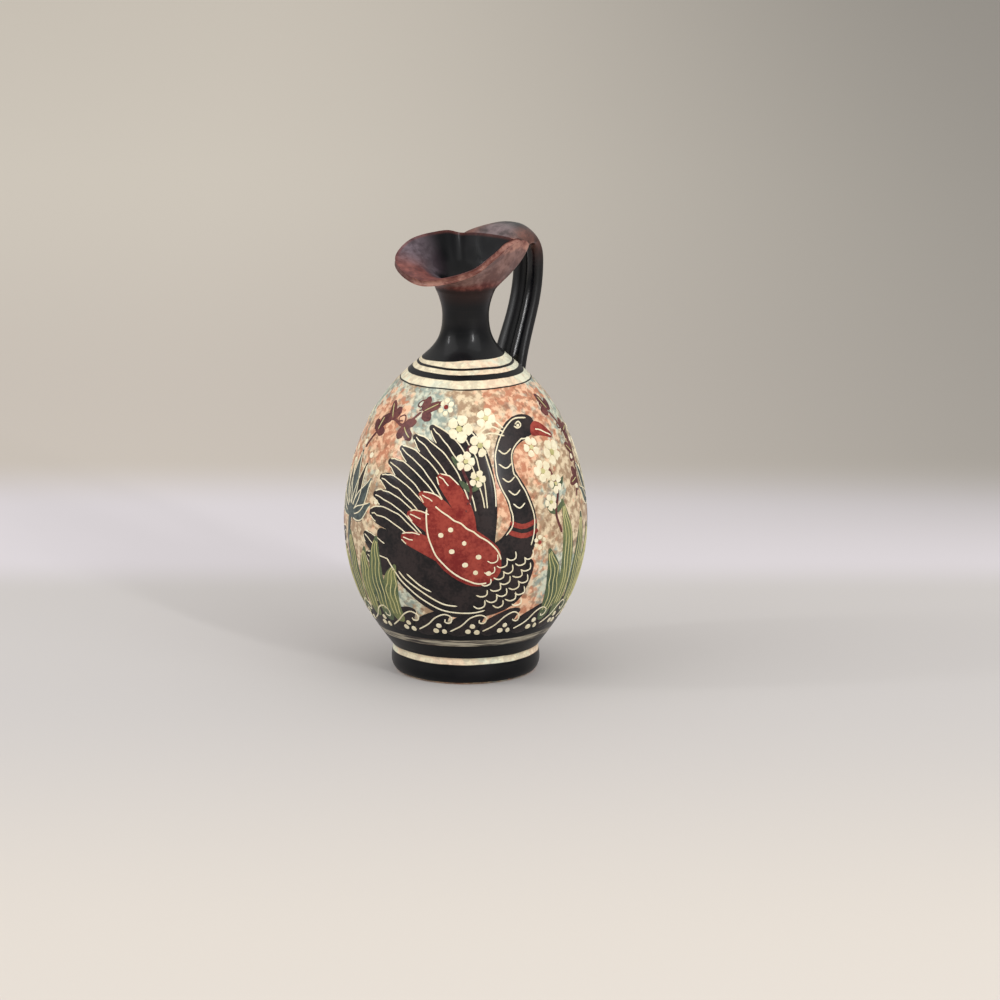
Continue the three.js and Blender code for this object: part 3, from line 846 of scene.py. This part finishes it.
def stroke(paint, spot, points, step=1.0, over=None):
    """A brush stroke through (across, up, width) points of a motif, as a thin closed solid laid on the body.

    The motif's spot is (degrees round the body, millimetres up, -1 where it is mirrored or else 1, size).
    The stroke lies at its paint's own level, or just above the paint named in `over`.
    """
    level = PAINTS[over][0] + PAINT_OVER if over else PAINTS[paint][0]
    turn, up, side, size = spot
    shaken = [(x + hand.gauss(0, SHAKE), z + hand.gauss(0, SHAKE), width) for x, z, width in points]
    line = smooth_line(shaken, fine=12)
    line = line * (side * size, size, size if line[:, 2].max() > 1 else 1) + (0, up, 0)
    widest = line[:, 2].max()
    run = np.linalg.norm(np.diff(line[:, :2], axis=0), axis=1).sum()
    shares = np.linspace(0, 1, max(5, round(run / step)) + 1)
    if widest > 1:
        shares = (1 - np.cos(shares * math.pi)) / 2
    line = spaced(line, shares)
    way = np.gradient(line[:, :2], axis=0)
    way /= np.maximum(np.linalg.norm(way, axis=1), 1e-9)[:, None]
    edge = 1 - min(PAINT_EDGE_MOST, PAINT_EDGE / widest)
    offsets = [-1, *np.linspace(-edge, edge, max(2, math.ceil(widest / PAINT_STEP_WIDE) + 1)), 1]
    rows = []
    for (x, z, width), (wx, wz), share in zip(line, way, shares):
        end = min(share, 1 - share) * run / (width / 2)
        half = width / 2 * math.sqrt(1 - (1 - min(end, 1)) ** 2)
        row = []
        for offset in offsets:
            lift = level if abs(offset) < 1 and half else -PAINT_SINK
            row.append(on_body(turn, x - wz * half * offset, z + wx * half * offset, lift))
        rows.append(row)
    woven(rows, closed_along=False, mesh=paint_meshes[paint])


def cream_line(spot, points, step=1.0):
    """A thin cream line through (across, up) points."""
    stroke("cream", spot, [(x, z, LINE) for x, z in points], step)


def dot(paint, spot, x, z, size):
    """A round dot set with the tip of the brush."""
    stroke(paint, spot, [(x - size / 2, z, size), (x + size / 2, z, size)], step=size / 7)


def beside(points, share, width=LINE, wave=0.0):
    """The thin line along a stroke: share 0 is the stroke's middle, 1 its edge; wave makes it wavy."""
    line = smooth_line(points, fine=8)[::2]
    way = np.gradient(line[:, :2], axis=0)
    way /= np.linalg.norm(way, axis=1)[:, None]
    aside = line[:, 2] / 2 * share + wave * np.sin(np.arange(len(line)) * 1.6)
    return [(x - wz * a, z + wx * a, width) for (x, z, _), (wx, wz), a in zip(line, way, aside)][1:]


def point_at(x, z, angle, reach):
    """A point at a distance from another, in a direction given in degrees from upright."""
    return (x + math.sin(math.radians(angle)) * reach, z + math.cos(math.radians(angle)) * reach)


# A feather: shares of its length, of its bend and of its width, from root to tip.
FEATHER = ((0, 0, 0.5), (0.35, 0.8, 0.9), (0.7, 0.9, 1), (0.9, 0.4, 0.75), (1, 0, 0.2))


def feather(paint, spot, root, tip, bend, width, shows):
    """A feather bent to one side, with cream lines along the part of it that shows."""
    (x, z), (dx, dz) = root, (tip[0] - root[0], tip[1] - root[1])
    points = [(x + dx * s - dz * bend * k, z + dz * s + dx * bend * k, width * w) for s, k, w in FEATHER]
    stroke(paint, spot, points)
    for share, start in ((-0.86, shows), (0.0, shows + 0.05), (0.84, 0.62)):
        line = beside(points, share)
        stroke("cream", spot, line[round(start * len(line)):], over=paint)


# The bird: tail, wing feathers, body, neck and beak, then a small red wing, cream lines and dots
TAIL = (((-13, 33), (-31, 36.5)), ((-14, 36), (-32, 42)))
BIRD_BODY = [
    (19, 36, 2), (15, 34.5, 11), (8, 31.5, 18.5), (-3, 31, 20), (-13, 34.5, 15), (-20, 39, 9), (-26, 44, 3),
]
BIRD_NECK = [
    (8, 35, 14), (13.5, 40, 11), (16.2, 47, 8), (14, 54, 6.6), (10.8, 60, 5.8), (10.6, 66, 5.6),
    (13.6, 70.2, 7), (17.8, 70.6, 5.6), (20, 69.8, 3.4),
]
BEAK = [(18.6, 70.4, 4.2), (22.5, 69.4, 3.0), (27.5, 67.2, 0.9)]
EYE = (14.6, 71.5)
EYE_RING = [(13.4, 71.6), (14.6, 72.3), (15.7, 71.5), (14.6, 70.7), (13.4, 71.6)]
SMALL_WING = [(9, 33.5, 5), (5, 36, 13), (-2, 41, 14), (-7, 47, 9), (-9.5, 52, 2)]
SMALL_FEATHERS = (
    ((2, 43), (-7.5, 60)), ((1, 40), (-12.5, 55)), ((0, 38), (-16, 49.5)), ((-2, 35), (-18, 43)),
)
WING_DOTS = ((6, 34), (3.4, 38.5), (0, 36.5), (-0.4, 42.5), (-3.6, 40), (-4, 46), (2.6, 34.2), (-6.6, 44.4))


def bird(spot):
    """A long-necked water bird on the waves, one wing raised behind it."""
    for root, tip in TAIL:
        feather("black", spot, root, tip, 0.06, 5.4, 0.3)
    for share in np.linspace(0, 1, 8):
        angle, reach = math.radians(98 + 64 * share), 36 - 4 * share
        tip = (1 + reach * math.cos(angle), 38 + reach * math.sin(angle))
        feather("black", spot, (6 - 14 * share, 40 - 3 * share), tip, -0.12, 6.2, 0.12)
    stroke("black", spot, BIRD_BODY)
    stroke("black", spot, BIRD_NECK)
    stroke("red", spot, BEAK)
    stroke("cream", spot, beside(BEAK, 0))
    cream_line(spot, EYE_RING, 0.5)
    dot("cream", spot, *EYE, 0.8)
    for lift, reach in ((2.2, 6.5), (0.6, 7.5), (-1.2, 7.8)):
        cream_line(spot, [(10.6, 70 + lift / 2), (10 - reach / 2, 71.4 + lift), (10 - reach, 69 + lift)], 0.6)
    for share in (-0.8, 0.82):
        stroke("cream", spot, beside(BIRD_NECK[1:8], share))
    for z, half in ((44, 4.5), (46.4, 4.1)):
        stroke("red", spot, [(16 - half, z + 1, 1.5), (16, z - 0.4, 1.5), (16 + half, z + 0.6, 1.5)])
    for z in (51.5, 55, 58.5, 62, 65.5):
        x = np.interp(z, (47, 54, 60, 66), (16.2, 14, 10.8, 10.6))
        cream_line(spot, [(x - 2, z + 0.8), (x, z - 0.6), (x + 2, z + 0.8)], 0.6)
    for row in range(5):
        for place in range(5 - row % 2):
            x, z = 17.4 - row * 2.6 - place * 0.9, 38.5 - place * 3.3 - row % 2 * 1.6
            scale = [(x + 1.5, z + 1.1), (x + 1.5, z - 0.9), (x - 0.2, z - 1.5), (x - 1.6, z - 0.6)]
            cream_line(spot, scale, 0.7)
    for share, start, end in ((0.84, 0, -3), (0.64, 2, -5), (0.44, 4, -6)):
        stroke("cream", spot, beside(BIRD_BODY[2:], share)[start:end])
    for root, tip in SMALL_FEATHERS:
        feather("red", spot, root, tip, -0.1, 5, 0.45)
    stroke("red", spot, SMALL_WING)
    for share in (-0.86, 0.86):
        stroke("cream", spot, beside(SMALL_WING, share, 0.6))
    for x, z in WING_DOTS:
        dot("cream", spot, x, z, 1.5)


def curl(paint, spot, x, z, size, side, width):
    """A line that winds into a spiral."""
    points = []
    for share in np.linspace(0, 1, 12):
        angle, reach = math.radians(-90 + 470 * share), size * (1 - 0.78 * share)
        points.append((x + side * reach * math.cos(angle), z + size + reach * math.sin(angle), width))
    stroke(paint, spot, points, 0.45)


def reeds(spot, blades):
    """Broad blades of green with wavy straw lines, each given as (across, height, lean, paint)."""
    for x, tall, lean, paint in blades:
        bent = (x + lean * 0.4, tall * 0.7, 4.6)
        blade = [(x, -1, 3.4), (x, tall * 0.35, 5.2), bent, (x + lean, tall, 0.8)]
        stroke(paint, spot, blade)
        for share in (-0.62, -0.05, 0.5):
            stroke("straw", spot, beside(blade, share, 0.4, 0.3), 0.8)


# The lotus: each petal's direction in degrees from upright, length, width and paint, the front ones last.
PETALS = (
    (-19, 17, 5, "black"), (19, 17, 5, "black"), (-70, 13, 5.6, "teal"), (70, 13, 5.6, "teal"),
    (-40, 16, 6.6, "teal"), (40, 16, 6.6, "teal"), (0, 19, 7, "teal"),
)


def lotus(spot):
    """A lotus on its stem, with dots above the petals."""
    stroke("teal", spot, [(0.5, -24, 1.6), (-1.5, -12, 1.8), (0, 0, 2.4)])
    for angle, reach, width, paint in PETALS:
        x, z = point_at(0, 0, angle, reach)
        petal = [(0, 0.5, 1.6), (x * 0.55, z * 0.42, width), (x, z + 1.5, 0.6)]
        stroke(paint, spot, petal)
        for share in (-0.84, 0.84):
            stroke("cream", spot, beside(petal, share))
        dot("cream", spot, *point_at(0, 1.5, angle, reach + 2.6), 1.9)


def leaf(spot, x, z, angle, size):
    """A three-lobed ivy leaf with a straw rib."""
    for turn, reach in ((-62, 0.8), (62, 0.8), (0, 1.1)):
        tip = point_at(x, z, angle + turn, size * reach)
        broad = point_at(x, z, angle + turn, size * reach * 0.55)
        stroke("maroon", spot, [(x, z, 1.1), (*broad, size * 0.62), (*tip, 0.5)])
    middle = point_at(x, z, angle, size * 0.5)
    stroke("straw", spot, [(x, z, 0.3), (*middle, 0.35), (*point_at(x, z, angle, size), 0.3)])


def ivy(spot, joints):
    """A winding stem with a leaf and a tendril at each joint, given as (across, up, the leaf's direction)."""
    stroke("maroon", spot, [(x, z, 0.8) for x, z, _ in joints], 0.7)
    for x, z, angle in joints[1:]:
        leaf(spot, x, z, angle, 4.6)
        curl("maroon", spot, x - 1.5, z, 1.5, 1, 0.4)


def blossom(spot, x, z, size):
    """A broad cream flower of five petals with a straw heart."""
    for angle in range(18, 378, 72):
        petal = [
            (*point_at(x, z, angle, size * reach), size * width)
            for reach, width in ((0.2, 0.5), (0.75, 0.95), (1, 0.4))
        ]
        stroke("cream", spot, petal, 0.5)
    dot("straw", spot, x, z, size * 0.5)


def spray(spot, stem, flowers):
    """A flowering twig with small leaves."""
    stroke("maroon", spot, [(x, z, 0.9) for x, z in stem], 0.7)
    for x, z in stem[1:-1]:
        for side in (-1, 1):
            small_leaf = [(x, z, 0.8), (x + side * 1.7, z + 1.2, 1.7), (x + side * 3.2, z + 2.8, 0.4)]
            stroke("moss", spot, small_leaf, 0.6)
    for x, z, size in flowers:
        blossom(spot, x, z, size)


def rosette(spot, x, z, size=1.3):
    """Six cream dots around a red one."""
    for angle in range(0, 360, 60):
        dot("cream", spot, *point_at(x, z, angle, size * 1.15), size)
    dot("red", spot, x, z, size * 0.9)


def palmette(spot):
    """A fan of black and maroon petals over two scrolls."""
    for angle in range(-110, 111, 22):
        reach = 21 - abs(angle) * 0.07
        shape = ((3, 1.6), (reach * 0.7, 4.2), (reach, 1.2))
        petal = [(*point_at(0, 0, angle, out), width) for out, width in shape]
        stroke("maroon" if angle % 44 else "black", spot, petal)
        stroke("cream", spot, beside(petal, 0))
    dot("red", spot, 0, 0, 6)
    dot("cream", spot, 0, 0, 2.4)
    for side in (-1, 1):
        curl("black", spot, side * 9, -24, 7, side, 1.6)
        stroke("black", spot, [(side * 9, -24, 1.6), (side * 2, -19, 1.8), (0, -8, 2)])
        rosette(spot, side * 22, -14)


# What grows around the two birds, from the waterline up
LOW_REEDS = [
    (-9, 17, -3, "green"), (-3.5, 22, -1, "moss"), (2, 19, 1.5, "green"),
    (7, 23, 2, "moss"), (11, 16, 4, "green"),
]
TALL_REEDS = [(-7, 20, -4, "moss"), (-2.5, 32, -2, "green"), (3, 27, 2, "moss"), (7.5, 21, 5, "green")]
TWIG = [(-1, 50), (1, 56), (-1, 62), (1, 68)]
TWIG_FLOWERS = [(-2, 71.5, 3.4), (3.4, 67.5, 3), (-0.5, 63.5, 2.6), (5, 73.8, 2.6), (2.6, 59, 2.2)]
WATERLINE = 19

bird((0, 0, 1, 1))
bird((-132, 0, -1, 0.96))
reeds((-62, WATERLINE, 1, 1), LOW_REEDS)
reeds((62, WATERLINE, 1, 1), TALL_REEDS)
reeds((96, WATERLINE, -1, 1), LOW_REEDS)
reeds((-178, WATERLINE, 1, 1), TALL_REEDS)
lotus((-71, 45, 1, 0.85))
lotus((93, 47, 1, 0.85))
palmette((141, 46, 1, 1))
ivy((-46, 68, 1, 1), [(-12, -5, 0), (-8, 0, 20), (-3, 4, -30), (2, 3, 130), (6, 7, 60)])
ivy((71, 56, 1, 1), [(-2, -6, 0), (1, -1, -100), (3, 5, -50), (2, 11, 80), (-1, 17, -20)])
spray((1, 0, 1, 1), TWIG, TWIG_FLOWERS)
spray((-131, 0, -1, 1), TWIG, TWIG_FLOWERS)
spray((50, -8, -1, 1), TWIG, TWIG_FLOWERS)
ivy((117, 67, 1, 0.9), [(-10, -4, 0), (-6, 1, 20), (-2, 4, -30), (3, 3, 120), (6, 6, 60)])
for turn, x, z in ((-14, 0, 76.5), (37, 0, 41), (162, 0, 62), (-96, 0, 70)):
    rosette((turn, 0, 1, 1), x, z)

# The waves: black crests that curl over, edged with cream, with three dots under each
WAVES = 19
CREST_STROKE = [(-5, 16.5, 5), (0, 18.8, 6.4), (3.6, 21.6, 3.6), (5.6, 22.4, 0.8)]
CREST_LINE = [
    (-4.4, 16.4), (-1.2, 18.4), (1.4, 20.9), (3.8, 22), (5.5, 20.8), (5, 19.3), (3.7, 19.4), (3.9, 20.4),
]
for place in range(WAVES):
    spot = (place * 360 / WAVES, 0, 1, 1)
    stroke("black", spot, CREST_STROKE)
    cream_line(spot, CREST_LINE, 0.6)
    for x, z in ((0.6, 16.6), (2.9, 16.4), (1.8, 18.3)):
        dot("cream", spot, x, z, 1.5)

# Brushed paint: thick and thin places, so that it dries darker and paler along the stroke
brushed, given, puts_out = group(
    "brushed_paint", {"Thin": ("Color", None), "Thick": ("Color", None)},
    {"Color": "Color", "Height": "Float"},
)
where = position(brushed)
bristles = noise(brushed, where, 0.8, 3.0, 0.6, shift=2.0)
load = mottled(brushed, noise(brushed, where, 5, 3.0, 0.6), bristles)
puts_out(Color=graded(brushed, load, 0.38, 0.62, given["Thin"], given["Thick"]), Height=load)
for paint, (_, thin, thick) in PAINTS.items():
    pigment, tree = new_finish(paint + "_paint")
    laid = placed(tree, brushed, {"Thin": thin, "Thick": thick})
    finished(tree, {
        "Base Color": laid["Color"], "Roughness": 0.46, "Normal": relief(tree, laid["Height"], 0.3, 0.04),
        "Specular IOR Level": 0.2, "Coat Weight": 0.12, "Coat Roughness": 0.2,
    })
    piece(paint_meshes[paint], "picture_in_" + paint, pigment)

# Table and light
# A pale table that fills the picture, in a soft bright room, with painted light and shade on it: bands of
# lighter and darker tone behind the pitcher, and painted shade at the far right. Two tall narrow lamps, one
# at each side, put the glints on the slip, and two broad ones fill in.
# Each band of the table starts and is full at a distance behind the pitcher, in metres.
TABLE_HALF = 4
TABLE_TONE = colour(190, 187, 186)
TABLE_LIGHT_AND_SHADE_BANDS = (
    (-0.02, -0.25, colour(203, 197, 190)), (0.08, 0.12, colour(203, 199, 204)),
    (0.18, 0.25, colour(187, 180, 172)), (0.3, 0.8, colour(200, 194, 184)),
)
FAR_RIGHT_SHADE = colour(139, 136, 131)
FAR_RIGHT_SHADE_SHARE = 0.92
ROOM_TONES = (colour(206, 202, 198), colour(255, 252, 248))

table_mesh = bmesh.new()
bmesh.ops.create_grid(table_mesh, x_segments=1, y_segments=1, size=TABLE_HALF)
table_data = bpy.data.meshes.new("table")
table_mesh.to_mesh(table_data)
table_mesh.free()
table = in_scene("table", table_data)
table_finish, tree = new_finish("table")
where = position(tree)
behind = times(tree, reach_along(tree, where, TO_CAMERA), -1.0)
# Painted light and shade: lighter in front of the pitcher, then a pale band, a darker band and a paler far
# part.
tone = TABLE_TONE
for start, full, band in TABLE_LIGHT_AND_SHADE_BANDS:
    tone = graded(tree, behind, start, full, tone, band)
# Painted shade: the table turns darker towards the far right, behind the pitcher.
far_right_shade = fades(tree, reach_along(tree, where, TO_RIGHT), -0.12, 0.28)
far_right_shade = times(tree, far_right_shade, fades(tree, behind, 0.1, 0.26))
tone = mixed(tree, times(tree, far_right_shade, FAR_RIGHT_SHADE_SHARE), tone, FAR_RIGHT_SHADE)
finished(tree, {"Base Color": tone, "Roughness": 0.75, "Specular IOR Level": 0.2})
table_data.materials.append(table_finish)


def lamp(name, bearing, rise, distance, size, power):
    """A soft lamp aimed at the pitcher, from degrees to the right of the camera and above level."""
    data = bpy.data.lights.new(name, "AREA")
    data.shape = "RECTANGLE"
    data.size, data.size_y = size
    data.energy = power
    made = in_scene(name, data)
    way = seen_from(PHOTO_BEARING + math.radians(bearing), math.radians(rise))
    made.location = LOOKS_AT * MM + way * distance
    made.rotation_mode = "QUATERNION"
    made.rotation_quaternion = way.to_track_quat("Z", "Y")


lamp("window_strip", 34, 23, 1.2, (0.045, 0.38), 3.8)
lamp("side_strip", -80, 24, 1.2, (0.08, 0.32), 2.0)
lamp("right_fill", 42, 36, 1.7, (1.3, 1.4), 6.5)
lamp("left_fill", -70, 36, 1.7, (1.3, 1.4), 6.5)
world = bpy.data.worlds.new("room")
bpy.context.scene.world = world
world.use_nodes = True
tree = world.node_tree
room = tree.nodes["Background"]
up = height_of(tree, node(tree, "TexCoord").outputs["Generated"])
tree.links.new(graded(tree, up, 0.0, 0.9, *ROOM_TONES), room.inputs["Color"])
tree.links.new(added(tree, 0.56, (fades(tree, up, 0.05, 0.8), 0.5)), room.inputs["Strength"])
bpy.context.scene.view_settings.view_transform = "Standard"
